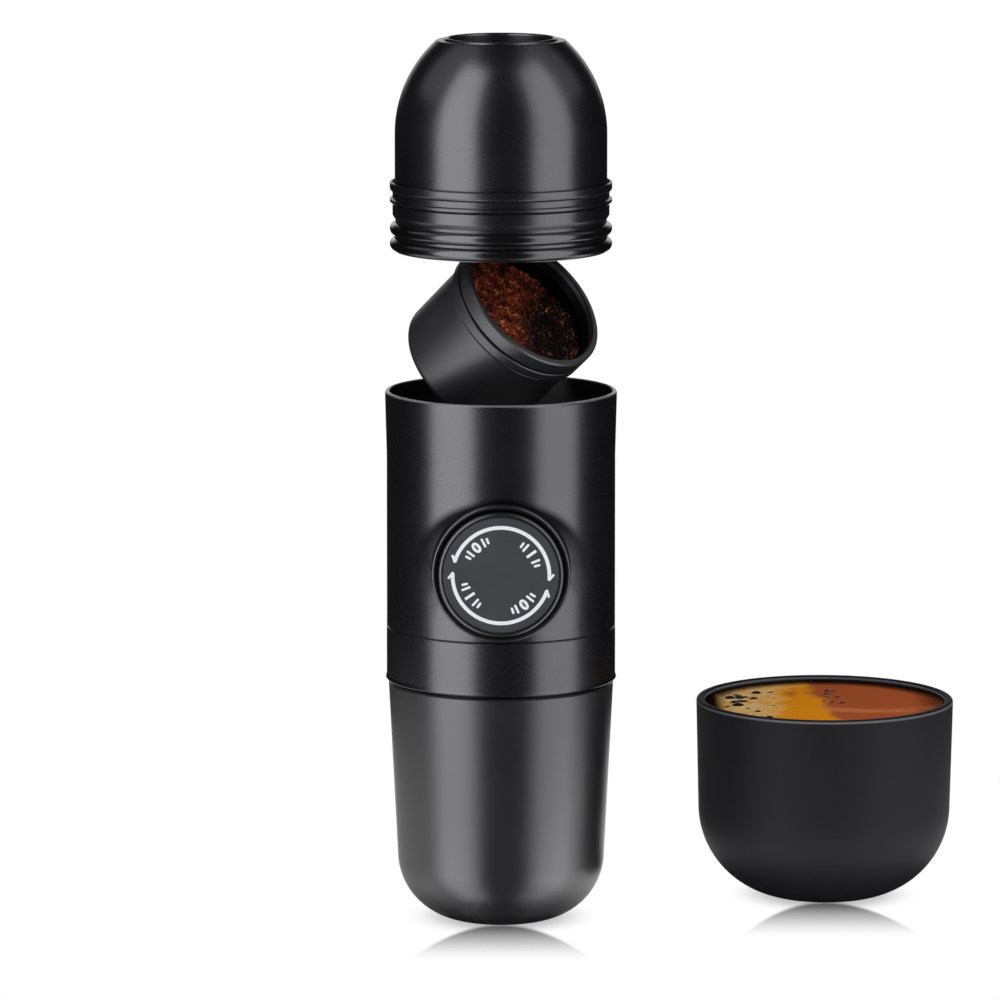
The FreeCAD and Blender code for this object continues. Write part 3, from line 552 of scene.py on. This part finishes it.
def espresso_brew():
    """Red-brown espresso, a golden tongue of crema in its middle and cream foam at the left."""
    coffee = bpy.context.scene.espresso_coffee
    cup = centre_of("espresso_cup")
    to_wall = 1 / cup_wall_radius(espresso_level())
    material, finish = new_material("espresso")
    place = finish.moved(finish.place(), shift=(-cup.x, -cup.y, 0))
    x, y, _ = finish.parts(place)
    across = x * to_wall
    along = y * to_wall
    out = distance_over(across, along)
    swirl = finish.noise(place, 0.010, 3.0, 0.55)
    fine = finish.noise(place, 0.0020, 3.0, 0.6)
    drift = (swirl - 0.5) * 0.55 + (fine - 0.5) * 0.12

    bow = distance_over(across - 0.42, along - 0.55)
    crescent = bow.smooth(0.72, 0.84) * bow.smooth(1.02, 0.88)
    tone = finish.mixed(crescent * swirl.smooth(0.25, 0.6) * 0.75, tuple(coffee.brew_colour),
                        PALE_BREW)
    tongue = ((across + 0.18).absolute() + along * 0.12 + drift * 0.5).smooth(0.24, 0.10)
    left = (across + drift).smooth(-0.10, -0.30)
    front = (along + out * out * 0.12 + drift * 0.3).smooth(-0.72, -0.88)
    tone = finish.mixed(tongue.larger(left).larger(front * 0.8), tone, tuple(coffee.gold_colour))
    foam = (across + drift * 1.5 - along * 0.10).smooth(-0.28, -0.52)
    cream = (swirl * 0.55 + fine * 0.65).smooth(0.42, 0.68)
    tone = finish.mixed(foam * (0.15 + cream * 0.85), tone, tuple(coffee.crema_colour))

    wall_shade = out.smooth(0.84, 1.0) * (0.55 + along.smooth(-0.5, 0.6) * 0.45)
    left_shade = across.smooth(-0.80, -0.93)
    right_shade = across.smooth(0.70, 1.0) * 0.75
    tone = finish.mixed(wall_shade.larger(left_shade).larger(right_shade), tone, SHADED_BREW)
    tone = finish.mixed(finish.ray("Is Glossy Ray") * 0.92, tone, BREW_IN_GLOSS)
    shader = finish.node("ShaderNodeBsdfPrincipled", {}, {
        "Base Color": tone, "Roughness": 0.35 + 0.3 * foam, "Specular IOR Level": 0.0,
        "IOR": 1.10, "Normal": finish.bump(foam * fine, 0.0003)})
    close_material(finish, shader)
    return material


def foam_bubble():
    """A bubble on the crema: a dark window, in a thick pale foot where it stands in the foam."""
    coffee = bpy.context.scene.espresso_coffee
    material, finish = new_material("foam_bubble")
    place = finish.place()
    x, _, z = finish.parts(place)
    speck = finish.noise(place, 0.0009)
    foot = (z - espresso_level() - speck * 0.0001).smooth(0.00020, 0.00010)
    in_foam = (x - centre_of("espresso_cup").x).smooth(0.0, -0.0060)
    tone = finish.mixed(foot * (0.15 + in_foam * 0.85), BUBBLE_WINDOW,
                        tuple(coffee.crema_colour))
    shader = finish.node("ShaderNodeBsdfPrincipled", {}, {
        "Base Color": tone, "Roughness": 0.16 + 0.1 * speck, "Specular IOR Level": 0.15})
    close_material(finish, shader)
    return material


def dress(nodes, material):
    """Gives CAD nodes one finish. A node's mesh is left as it is."""
    for name in nodes:
        slots = frame["nodes"][name].data.materials
        slots.clear()
        slots.append(material)


# ---- Mesh helpers ----

def piece_from(shape, name, material, smooth=True):
    """Ends a bmesh as a finished object at the origin."""
    mesh = bpy.data.meshes.new(name)
    shape.to_mesh(mesh)
    shape.free()
    mesh.materials.append(material)
    for face in mesh.polygons:
        face.use_smooth = smooth
    piece = bpy.data.objects.new(name, mesh)
    bpy.context.scene.collection.objects.link(piece)
    return piece


def outwards(shape):
    bmesh.ops.remove_doubles(shape, verts=shape.verts, dist=1e-7)
    bmesh.ops.recalc_face_normals(shape, faces=shape.faces)


# ---- The knob's dial ----

def dial_plane():
    """The knob's axis point at the height of its face, with x right, y up and z outwards."""
    low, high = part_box("knob_face")
    middle = (low + high) / 2
    turn = Matrix.Rotation(math.radians(90), 4, "X")
    return Matrix.Translation((middle.x, low.y, middle.z)) @ turn


def add_stadium(shape, start, end, width, top):
    """A flat bar with round ends between two points of the dial."""
    points = []
    for middle in (start, end):
        for height in (-SUNK, top):
            made = bmesh.ops.create_circle(
                shape, segments=16, radius=width / 2,
                matrix=Matrix.Translation((middle.x, middle.y, height)))
            points += made["verts"]
    hull = bmesh.ops.convex_hull(shape, input=points)
    loose = [v for v in hull["geom_interior"] if isinstance(v, bmesh.types.BMVert)]
    bmesh.ops.delete(shape, geom=loose, context="VERTS")


def on_dial(radius, angle):
    return Vector((radius * math.cos(angle), radius * math.sin(angle), 0))


def add_arrow(shape, dial, start, end):
    """An arc of a ring with a barb at each end that points out and back along it."""
    inner = dial.arc_radius - dial.stroke / 2
    outer = dial.arc_radius + dial.stroke / 2
    corners = ((inner, -SUNK), (outer, -SUNK), (outer, dial.thickness), (inner, dial.thickness))
    turn = Matrix.Rotation(start, 4, "Z")
    profile = [shape.verts.new(turn @ Vector((r, 0, z))) for r, z in corners]
    first = shape.faces.new(profile)
    bmesh.ops.spin(shape, geom=[first], cent=ORIGIN, axis=(0, 0, 1), angle=end - start, steps=72,
                   use_merge=False)
    for angle, way in ((start, 1), (end, -1)):
        tip = on_dial(dial.arc_radius, angle)
        back = angle + way * dial.barb_back / dial.arc_radius
        barb_end = on_dial(dial.arc_radius + dial.barb_out, back)
        add_stadium(shape, tip, barb_end, dial.stroke * 0.66, dial.thickness + 0.00001)


def add_number(shape, dial, number, angle):
    """A plain bold number with its top outwards."""
    curve = bpy.data.curves.new("number", "FONT")
    curve.body = number
    curve.size = dial.number_size
    curve.extrude = dial.thickness
    curve.bevel_depth = dial.number_bold
    curve.resolution_u = 5
    source = bpy.data.objects.new("number", curve)
    mesh = bpy.data.meshes.new_from_object(source)
    low, high = (Vector([pick(v.co[axis] for v in mesh.vertices) for axis in range(3)])
                 for pick in (min, max))
    middle = (low + high) / 2
    flat = Matrix.Diagonal((1, 1, (dial.thickness + SUNK) / (high.z - low.z), 1))
    level = Matrix.Translation((0, 0, (dial.thickness - SUNK) / 2))
    turn = Matrix.Rotation(angle - math.radians(90), 4, "Z")
    mesh.transform(Matrix.Translation(on_dial(dial.scale_radius, angle)) @ turn @ level @ flat
                   @ Matrix.Translation(-middle))
    shape.from_mesh(mesh)
    bpy.data.objects.remove(source)
    bpy.data.curves.remove(curve)
    bpy.data.meshes.remove(mesh)


def add_ticks(shape, dial, angle):
    """Two short bold lines on each side of a number, the outer ones shorter."""
    for turn, share in TICKS:
        where = angle + math.radians(turn)
        half = dial.tick_length * share / 2
        add_stadium(shape, on_dial(dial.scale_radius - half, where),
                    on_dial(dial.scale_radius + half, where), dial.tick_width, dial.thickness)


class ESPRESSO_OT_dial(bpy.types.Operator):
    """Adds the turning arrows and a plain scale on the knob's face"""
    bl_idname = "espresso.dial"
    bl_label = "Dial Marks"

    def execute(self, context):
        dial = context.scene.espresso_dial
        shape = bmesh.new()
        for start, end in ARROWS:
            add_arrow(shape, dial, math.radians(start), math.radians(end))
        for number, degrees in NUMBERS:
            add_number(shape, dial, number, math.radians(degrees))
            add_ticks(shape, dial, math.radians(degrees))
        bmesh.ops.transform(shape, matrix=dial_plane(), verts=shape.verts)
        outwards(shape)
        marks = piece_from(shape, "dial_marks", printed_white(), smooth=False)
        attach(marks, "knob")
        return {"FINISHED"}


# ---- Ground coffee in the basket ----

def ground_height(x, y):
    """Height of the heap above the seated basket's rim, over a point of the rim's plane."""
    lumps = sum(noise.noise(Vector((x, y, layer)) * number) * height
                for number, layer, height in LUMPS)
    return -HEAP_DEPTH - y * HEAP_SLOPE + lumps


def heap_radius(height):
    """The basket's inner radius at a height under its rim, less a hair. Its lip opens upwards."""
    share = min(max(1 + height / LIP_DEPTH, 0), 1)
    return BASKET_BORE + share * LIP_FLARE


def add_heap(shape, rim):
    """The ground coffee's surface, which meets the wall all round, on a plug in the bore."""
    bmesh.ops.create_grid(shape, x_segments=HEAP_CELLS, y_segments=HEAP_CELLS, size=1)
    for vertex in shape.verts:
        flat = vertex.co.xy
        share = max(abs(flat.x), abs(flat.y))
        way = flat.normalized() if flat.length > 0 else flat
        edge = way * BASKET_BORE
        flat = way * share * heap_radius(ground_height(edge.x, edge.y))
        vertex.co = (flat.x, flat.y, rim + min(ground_height(flat.x, flat.y), 0))
    skirt = bmesh.ops.extrude_edge_only(shape, edges=[e for e in shape.edges if e.is_boundary])
    for vertex in [v for v in skirt["geom"] if isinstance(v, bmesh.types.BMVert)]:
        flat = vertex.co.xy.normalized() * BASKET_BORE
        vertex.co = (flat.x, flat.y, vertex.co.z - LIP_DEPTH)
    bmesh.ops.contextual_create(shape, geom=[e for e in shape.edges if e.is_boundary])


def add_grains(shape, dice, rim, coffee):
    """Adds the loose grains in batches, because each step on a large bmesh is slow."""
    for _ in range(coffee.grain_count // GRAIN_BATCH):
        few = bmesh.new()
        for _ in range(GRAIN_BATCH):
            add_grain(few, dice, rim, coffee.grain_size * dice.uniform(*GRAIN_SPREAD))
        mesh = bpy.data.meshes.new("grains")
        few.to_mesh(mesh)
        few.free()
        shape.from_mesh(mesh)
        bpy.data.meshes.remove(mesh)


def add_grain(shape, dice, rim, size):
    """One loose grain: a squashed, turned few-faced lump half sunk in the heap."""
    angle = dice.uniform(0, 2 * math.pi)
    out = (BASKET_BORE - size / 2) * math.sqrt(dice.random())
    x = out * math.cos(angle)
    y = out * math.sin(angle)
    stretch = Matrix.Diagonal((*[size * dice.uniform(*ends) for ends in GRAIN_WIDTHS], 1))
    turn = Matrix.Rotation(dice.uniform(0, math.pi), 4, Vector(
        (dice.uniform(-1, 1), dice.uniform(-1, 1), dice.uniform(-1, 1) + 0.01)))
    level = rim + min(ground_height(x, y), 0) + size * GRAIN_LIFT
    made = bmesh.ops.create_icosphere(
        shape, subdivisions=1, radius=0.5,
        matrix=Matrix.Translation((x, y, level)) @ turn @ stretch)
    for vertex in made["verts"]:
        vertex.co += Vector([dice.uniform(-1, 1) for _ in range(3)]) * size * GRAIN_JAG


class ESPRESSO_OT_grounds(bpy.types.Operator):
    """Fills the tipped basket with ground coffee"""
    bl_idname = "espresso.grounds"
    bl_label = "Ground Coffee"

    def execute(self, context):
        coffee = context.scene.espresso_coffee
        rim = seated_basket_box()[1]
        dice = random.Random(11)
        shape = bmesh.new()
        add_heap(shape, rim)
        add_grains(shape, dice, rim, coffee)
        bmesh.ops.transform(shape, matrix=basket_at_rest(), verts=shape.verts)
        outwards(shape)
        heap = piece_from(shape, "coffee_grounds", ground_coffee(), smooth=False)
        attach(heap, "basket")
        return {"FINISHED"}


# ---- Espresso in the cup ----

def espresso_level():
    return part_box("espresso_cup")[1].z - bpy.context.scene.espresso_coffee.liquid_depth


def cup_wall_radius(level):
    """The cup's inner radius at a height, less a hair so that the liquid only meets it."""
    cup = centre_of("espresso_cup")
    found = [(v.co.xy - cup.xy).length for v in frame["nodes"]["espresso_cup"].data.vertices
             if abs(v.co.z - level) < 0.004]
    return min(found) - WALL_GAP


def add_brew_surface(shape, cup, level, inner):
    """Rings from the wall to the middle, which rise a little at the wall, over a closed skirt."""
    edges = list(shape.edges)
    for ring in range(1, BREW_RINGS):
        radius = inner * (1 - ring / BREW_RINGS)
        made = bmesh.ops.extrude_edge_only(shape, edges=edges)["geom"]
        edges = [e for e in made if isinstance(e, bmesh.types.BMEdge)]
        for vertex in [v for v in made if isinstance(v, bmesh.types.BMVert)]:
            out = (vertex.co.xy - cup.xy).normalized() * radius
            rise = WET_RISE * math.exp(-(inner - radius) / WET_WIDTH)
            ripple = noise.noise(Vector((out.x, out.y, 1)) * RIPPLES_TO_A_METRE) * RIPPLE_HEIGHT
            vertex.co = (cup.x + out.x, cup.y + out.y, level + rise + ripple)
    bmesh.ops.contextual_create(shape, geom=edges)
    rim = [e for e in shape.edges if e.is_boundary]
    skirt = bmesh.ops.extrude_edge_only(shape, edges=rim)["geom"]
    low = [v for v in skirt if isinstance(v, bmesh.types.BMVert)]
    bmesh.ops.translate(shape, verts=low, vec=(0, 0, -BREW_SKIRT))
    bmesh.ops.contextual_create(shape, geom=[e for e in shape.edges if e.is_boundary])


def add_bubble(shape, dice, cup, level, inner):
    """A low dome. Most gather on the left, and a few small ones right of the golden middle."""
    across = dice.uniform(*BUBBLE_ACROSS)
    along = dice.uniform(*BUBBLE_ALONG) * math.sqrt(1 - across * across)
    radius = BUBBLE_RADIUS + BUBBLE_MORE * dice.random() ** 2
    if dice.random() < SMALL_SHARE:
        across = dice.uniform(*SMALL_ACROSS)
        along = dice.uniform(*SMALL_ALONG)
        radius = dice.uniform(*SMALL_RADII)
    made = bmesh.ops.create_icosphere(shape, subdivisions=2, radius=radius)
    middle = (cup.x + inner * across, cup.y + inner * along, level - radius * BUBBLE_SUNK)
    flat = Matrix.Translation(middle) @ Matrix.Diagonal((1, 1, BUBBLE_FLAT, 1))
    bmesh.ops.transform(shape, matrix=flat, verts=made["verts"])


class ESPRESSO_OT_brew(bpy.types.Operator):
    """Fills the cup with espresso, its crema and bubbles"""
    bl_idname = "espresso.brew"
    bl_label = "Espresso"

    def execute(self, context):
        cup = centre_of("espresso_cup")
        level = espresso_level()
        inner = cup_wall_radius(level)
        shape = bmesh.new()
        bmesh.ops.create_circle(shape, cap_ends=False, segments=BREW_SEGMENTS, radius=inner)
        bmesh.ops.translate(shape, verts=shape.verts, vec=(cup.x, cup.y, level + WET_RISE))
        add_brew_surface(shape, cup, level, inner)
        outwards(shape)
        brew = piece_from(shape, "espresso", espresso_brew())
        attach(brew, "cup")
        bubbles = bmesh.new()
        dice = random.Random(5)
        for _ in range(context.scene.espresso_coffee.bubble_count):
            add_bubble(bubbles, dice, cup, level, inner)
        foam = piece_from(bubbles, "crema_bubbles", foam_bubble())
        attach(foam, "cup")
        return {"FINISHED"}


# ---- Finishes on the CAD nodes ----

class ESPRESSO_OT_plastics(bpy.types.Operator):
    """Gives every CAD node its plastic, rubber or steel"""
    bl_idname = "espresso.plastics"
    bl_label = "Plastics"

    def execute(self, context):
        use = context.scene.espresso_plastic
        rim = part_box("body_shell")[1].z
        # The body's shell: a painted highlight line just under its rim, and a painted crescent of
        # shade over the knob
        dress(SHELL_NODES, moulded(
            "shell_satin", tuple(use.shell_colour), 0.27, shade_above=centre_of("knob_guide"),
            painted_highlights=((rim - SHELL_HIGHLIGHT_DEPTH, HIGHLIGHT_HALF_WIDTH, SHELL_HIGHLIGHT_SHARE),)))
        dress(TANK_NODES, moulded("tank_matte", tuple(use.tank_colour), 0.34, ior=1.75))
        dress(HEAD_NODES, moulded("head_satin", tuple(use.shell_colour), 0.27))
        dress(RING_NODES, moulded("ring_satin", tuple(use.ring_colour), 0.20))
        dress(LIP_NODES, moulded("lip_satin", tuple(use.shell_colour), 0.27))
        dress(KNOB_NODES, moulded("knob_satin", tuple(use.knob_colour), 0.30))
        dress(("knob_face",), moulded("dial_matte", tuple(use.dial_colour), 0.50,
                                      specular=0.5, ior=1.5, grain=1.4))
        # The basket: painted shade in its bore
        tipped = basket_at_rest()
        mouth = tipped @ Vector((0, 0, seated_basket_box()[1]))
        dress(BASKET_NODES, moulded(
            "basket_satin", tuple(use.basket_colour), 0.40,
            shaded_bore=(mouth, tipped.to_3x3() @ Vector((0, 0, 1)), BASKET_BORE + LIP_FLARE)))
        # The cup: a painted highlight line just under its rim
        cup_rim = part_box("espresso_cup")[1].z
        dress(("espresso_cup",), moulded(
            "cup_matte", tuple(use.cup_colour), 0.60, specular=0.38, ior=1.5,
            painted_highlights=((cup_rim - CUP_HIGHLIGHT_DEPTH, HIGHLIGHT_HALF_WIDTH, CUP_HIGHLIGHT_SHARE),)))
        dress(("outlet_spout",), moulded("spout_satin", (0.10, 0.10, 0.105), 0.35))
        dress(DECK_NODES, moulded("deck_matte", tuple(use.deck_colour), 0.5))
        dress(PUMP_NODES, moulded("pump_natural", tuple(use.pump_colour), 0.38))
        dress(RUBBER_NODES, moulded("seal_rubber", (0.010, 0.010, 0.010), 0.6))
        dress(STEEL_NODES, brushed_steel())
        return {"FINISHED"}


# ---- Studio ----

def add_soft_box(name, place, aim, width, height, power):
    """A soft rectangular lamp that faces a point."""
    lamp = bpy.data.lights.new(name, "AREA")
    lamp.shape = "RECTANGLE"
    lamp.size = width
    lamp.size_y = height
    lamp.energy = power
    lamp.color = LAMP_TINT
    holder = bpy.data.objects.new(name, lamp)
    bpy.context.scene.collection.objects.link(holder)
    holder.location = place
    holder.rotation_euler = (aim - place).to_track_quat("-Z", "Y").to_euler()
    holder.visible_camera = False


def add_soft_boxes(studio):
    """A tall lamp on each side in front, and one high up on each side."""
    for name, degrees, power, high_power in (
            ("left", -50, studio.left_power, studio.top_power),
            ("right", 58, studio.right_power, studio.top_power * HIGH_RIGHT_SHARE)):
        turn = math.radians(degrees)
        out = Vector((math.sin(turn), -math.cos(turn), 0))
        add_soft_box("soft_box_" + name, TALL_AIM + out * studio.box_distance, TALL_AIM,
                     studio.box_width, studio.box_height, power)
        high = HIGH_PLACE.copy()
        high.x = math.copysign(high.x, degrees)
        add_soft_box("top_box_" + name, high, HIGH_AIM, *HIGH_SIZE, high_power)


def build_world(studio):
    """White where the camera sees it, and dim for the light that falls on the object."""
    world = bpy.data.worlds.new("studio")
    world.use_nodes = True
    bpy.context.scene.world = world
    finish = Finish(world.node_tree)
    glossy_ray = finish.ray("Is Glossy Ray")
    sight = finish.node("ShaderNodeTexCoord", output="Generated")
    _, y, z = finish.parts(sight)
    behind = y.smooth(*WINDOW_BACK) * z.smooth(*WINDOW_FOOT) * z.smooth(*WINDOW_TOP)
    seen_in_gloss = ROOM_DARK + (1 - ROOM_DARK) * behind
    soft = studio.ambient * (1 - glossy_ray) + glossy_ray * seen_in_gloss
    white = finish.ray("Is Camera Ray").larger(finish.ray("Is Transmission Ray"))
    level = white + (1 - white) * soft
    background = finish.node("ShaderNodeBackground", {}, {
        "Color": (1.0, 1.0, 1.0), "Strength": level})
    finish.node("ShaderNodeOutputWorld", {}, {"Surface": background})


def foot_mirror(x, y):
    """How much of a round foot's mirror image the floor shows, at a place from the foot's middle.

    It starts at the foot's front, spreads as the foot does, and fades towards the camera."""
    towards = y * -1
    spread = ((towards - MIRROR_START) * MIRROR_SPREAD - x * x).smooth(-0.00002, 0.00005)
    return spread * towards.smooth(*MIRROR_FADE) * MIRROR_SHARE


def floor_finish():
    """Pale floor: it mirrors the feet softly, keeps their shadow, and is white further off.

    A reflection sees it as a soft glow at the sides, so that dark plastic keeps its form."""
    material, finish = new_material("studio_floor")
    x, y, _ = finish.parts(finish.place())
    cup = centre_of("espresso_cup")
    near_tank = distance_over(x, y)
    near_cup = distance_over(x - cup.x, y - cup.y)

    glossy_ray = finish.ray("Is Glossy Ray")
    left_share, right_share = GLOW_SHARES
    sides = x.smooth(*GLOW_LEFT) * left_share + x.smooth(*GLOW_RIGHT) * right_share
    gleam = sides * near_cup.smooth(*GLOW_AROUND_CUP) * y.smooth(*GLOW_FROM_FRONT) \
        * near_tank.smooth(*GLOW_FAR) + GLOW_LEAST
    glow = finish.node("ShaderNodeEmission", {}, {
        "Color": (1, 1, 1), "Strength": glossy_ray * gleam + (1 - glossy_ray) * 0.35})
    sheet = finish.node("ShaderNodeBsdfGlossy", {}, {"Color": (0.8, 0.8, 0.8), "Roughness": 0.15})
    in_reflections = finish.node("ShaderNodeAddShader", {}, {0: glow, 1: sheet})

    pale = finish.node("ShaderNodeEmission", {}, {"Color": (1, 1, 1), "Strength": 1.0})
    matte = finish.node("ShaderNodeBsdfDiffuse", {}, {"Color": (0.86, 0.86, 0.86)})
    shadowed = near_tank.smaller(near_cup).smooth(*SHADOW_FADE) * SHADOW_SHARE
    open_floor = finish.node("ShaderNodeMixShader", {}, {0: shadowed, 1: pale, 2: matte})
    mirror = finish.node("ShaderNodeBsdfGlossy", {}, {"Color": (1, 1, 1), "Roughness": 0.0})
    mirrored = foot_mirror(x, y) + foot_mirror(x - cup.x, y - cup.y)
    in_view = finish.node("ShaderNodeMixShader", {}, {0: mirrored, 1: open_floor, 2: mirror})
    shader = finish.node("ShaderNodeMixShader", {}, {
        0: finish.ray("Is Camera Ray"), 1: in_reflections, 2: in_view})
    close_material(finish, shader)
    return material


class ESPRESSO_OT_studio(bpy.types.Operator):
    """Adds the camera, the soft boxes, the pale floor and the white room"""
    bl_idname = "espresso.studio"
    bl_label = "Studio"

    def execute(self, context):
        studio = context.scene.espresso_studio
        shape = bmesh.new()
        bmesh.ops.create_circle(shape, cap_ends=True, segments=96, radius=studio.floor_radius)
        floor = piece_from(shape, "floor", floor_finish(), smooth=False)
        add_soft_boxes(studio)
        build_world(studio)
        data = bpy.data.cameras.new("camera")
        data.sensor_width = 36.0
        data.lens = studio.lens
        data.clip_end = 60.0
        camera = bpy.data.objects.new("camera", data)
        context.scene.collection.objects.link(camera)
        camera.location = studio.camera_place
        camera.rotation_euler = (math.radians(90) - studio.camera_dip, 0, 0)
        context.scene.camera = camera
        context.scene.view_settings.view_transform = "Standard"
        return {"FINISHED"}


# ---- Panel and registration ----

class ESPRESSO_PT_panel(bpy.types.Panel):
    """Lists the steps that dress the espresso maker"""
    bl_label = "Espresso Maker"
    bl_idname = "ESPRESSO_PT_panel"
    bl_space_type = "VIEW_3D"
    bl_region_type = "UI"
    bl_category = "Espresso Maker"

    def draw(self, context):
        column = self.layout.column()
        for step in STEPS:
            column.operator(step.bl_idname)


STEPS = (ESPRESSO_OT_plastics, ESPRESSO_OT_dial, ESPRESSO_OT_grounds, ESPRESSO_OT_brew,
         ESPRESSO_OT_studio)
GROUPS = {"espresso_plastic": PlasticSettings, "espresso_dial": DialSettings,
          "espresso_coffee": CoffeeSettings, "espresso_studio": StudioSettings}


def register():
    for group in GROUPS.values():
        bpy.utils.register_class(group)
    for name, group in GROUPS.items():
        setattr(bpy.types.Scene, name, bpy.props.PointerProperty(type=group))
    for step in STEPS:
        bpy.utils.register_class(step)
    bpy.utils.register_class(ESPRESSO_PT_panel)


def unregister():
    bpy.utils.unregister_class(ESPRESSO_PT_panel)
    for step in reversed(STEPS):
        bpy.utils.unregister_class(step)
    for name, group in reversed(GROUPS.items()):
        delattr(bpy.types.Scene, name)
        bpy.utils.unregister_class(group)


def main():
    register()
    bpy.ops.espresso.plastics()
    bpy.ops.espresso.dial()
    bpy.ops.espresso.grounds()
    bpy.ops.espresso.brew()
    bpy.ops.espresso.studio()


if __name__ == "__main__":
    main()
